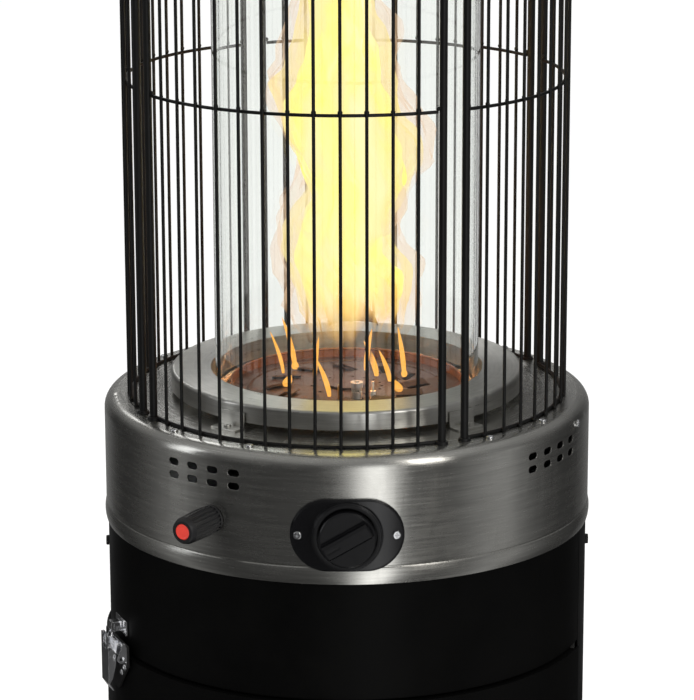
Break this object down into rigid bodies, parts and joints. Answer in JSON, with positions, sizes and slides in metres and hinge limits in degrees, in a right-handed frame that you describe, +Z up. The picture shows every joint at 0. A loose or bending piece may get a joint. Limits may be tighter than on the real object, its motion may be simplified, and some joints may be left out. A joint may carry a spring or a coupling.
{
  "type": "outdoor heater",
  "caption": "Round gas patio heater: black drum with bottle door, brushed steel control band, knob and igniter, glass flame tube in a black wire cage, domed cap.",
  "frame": {"origin": "on the ground at the heater's vertical axis, the middle of the box that the base pan and wheels fill", "axes": "+Z up along the drum's axis, the control knob faces -Y, +X to the right of someone facing the knob"},
  "size_m": [0.55, 0.55, 1.786],
  "materials": {
    "base_black": "satin powder coat",
    "drum_black": "satin powder coat",
    "frame_grey": "plain coated steel",
    "band_steel": "brushed round the axis",
    "top_steel": "brushed round the axis",
    "chrome": "polished",
    "cage_black": "satin powder coat on wire",
    "bezel_plastic": "gloss moulding",
    "knob_plastic": "semi-gloss moulding",
    "igniter_plastic": "satin moulding",
    "button_red": "semi-gloss moulding",
    "rubber": "matt",
    "wheel_plastic": "matt moulding",
    "zinc": "zinc plated",
    "valve_cast": "as cast",
    "brass": "turned",
    "burner_steel": "heat tinted",
    "burner_plate_steel": "heat tinted and sooted",
    "pilot_steel": "heat tinted",
    "ceramic": "unglazed",
    "gasket": "woven heat-proof rope",
    "glass": "clear borosilicate",
    "switch_plastic": "matt moulding",
    "cell": "printed can"
  },
  "bodies": {
    "heater": {"base_pan": "base_black", "base_feet": "rubber", "bottle_ring": "base_black", "frame_posts": "frame_grey", "rear_shell": "drum_black", "front_fascia": "drum_black", "body_screws": "base_black", "wheel_bracket": "base_black", "wheel_axle": "zinc", "axle_caps": "wheel_plastic", "frame_hinge_leaves": "base_black", "hinge_pins": "zinc", "latch_keeper": "chrome", "head_floor": "zinc", "control_band": "band_steel", "band_screws": "chrome", "bezel": "bezel_plastic", "bezel_screws": "chrome", "valve_body": "valve_cast", "valve_bracket": "zinc", "gas_inlet": "brass", "feed_tube": "brass", "orifice_holder": "brass", "mixer_tube": "zinc", "burner_bowl": "burner_steel", "burner_plate": "burner_plate_steel", "pilot_burner": "pilot_steel", "pilot_tube": "brass", "thermocouple": "brass", "igniter_electrode": "ceramic", "igniter_body": "igniter_plastic", "igniter_nut": "igniter_plastic", "igniter_battery": "cell", "tilt_switch": "switch_plastic", "glass_collar": "top_steel", "collar_brackets": "top_steel", "glass_gasket": "gasket", "glass_tube": "glass", "cage_panel_front": "cage_black", "cage_panel_right": "cage_black", "cage_panel_rear": "cage_black", "cage_panel_left": "cage_black", "guard_top": "cage_black", "outlet_ring": "top_steel", "top_cap": "top_steel", "cap_nuts": "chrome"},
    "door": {"door_panel": "drum_black", "door_hinge_leaves": "base_black", "latch_plate": "base_black", "latch_bracket": "chrome", "latch_rivets": "chrome"},
    "latch_lever": {"latch_lever": "chrome"},
    "latch_claw": {"latch_claw": "chrome"},
    "knob_slider": {"thrust_washer": "zinc"},
    "knob": {"control_knob": "knob_plastic", "valve_stem": "brass"},
    "igniter_cap": {"igniter_cap": "igniter_plastic"},
    "igniter_button": {"igniter_button": "button_red"},
    "wheel_left": {"wheel_left": "wheel_plastic"},
    "wheel_right": {"wheel_right": "wheel_plastic"}
  },
  "joints": [
    {"name": "door_hinge", "type": "hinge", "parent": "heater", "child": "door", "pos_m": [0.22222, -0.07006, 0.3], "axis": [0, 0, 1], "range_deg": [0, 110]},
    {"name": "latch_lever", "type": "hinge", "parent": "door", "child": "latch_lever", "pos_m": [-0.2165, -0.08747, 0.585], "axis": [-0.3746, 0.9272, 0], "range_deg": [0, 80]},
    {"name": "latch_claw", "type": "hinge", "parent": "latch_lever", "child": "latch_claw", "pos_m": [-0.22005, -0.0889, 0.58179], "axis": [-0.3746, 0.9272, 0], "range_deg": [-80, 0]},
    {"name": "knob_push", "type": "slide", "parent": "heater", "child": "knob_slider", "axis": [0, 1, 0], "range_m": [0, 0.004], "stiffness_N_per_m": 800, "springref_m": -0.004},
    {"name": "knob_turn", "type": "hinge", "parent": "knob_slider", "child": "knob", "pos_m": [0, -0.24, 0.7296], "axis": [0, -1, 0], "range_deg": [-120, 70]},
    {"name": "igniter_cap", "type": "hinge", "parent": "heater", "child": "igniter_cap", "pos_m": [-0.12453, -0.19929, 0.734], "axis": [-0.5299, -0.848, 0], "range_deg": [0, 720]},
    {"name": "igniter_button", "type": "slide", "parent": "igniter_cap", "child": "igniter_button", "axis": [0.5299, 0.848, 0], "range_m": [0, 0.003], "stiffness_N_per_m": 400, "springref_m": -0.003},
    {"name": "wheel_left", "type": "hinge", "parent": "heater", "child": "wheel_left", "pos_m": [-0.155, 0.245, 0.034], "axis": [1, 0, 0], "continuous": true},
    {"name": "wheel_right", "type": "hinge", "parent": "heater", "child": "wheel_right", "pos_m": [0.155, 0.245, 0.034], "axis": [1, 0, 0], "continuous": true}
  ],
  "couplings": [
    {"joint": "latch_claw", "follows": "latch_lever", "ratio": -1}
  ]
}
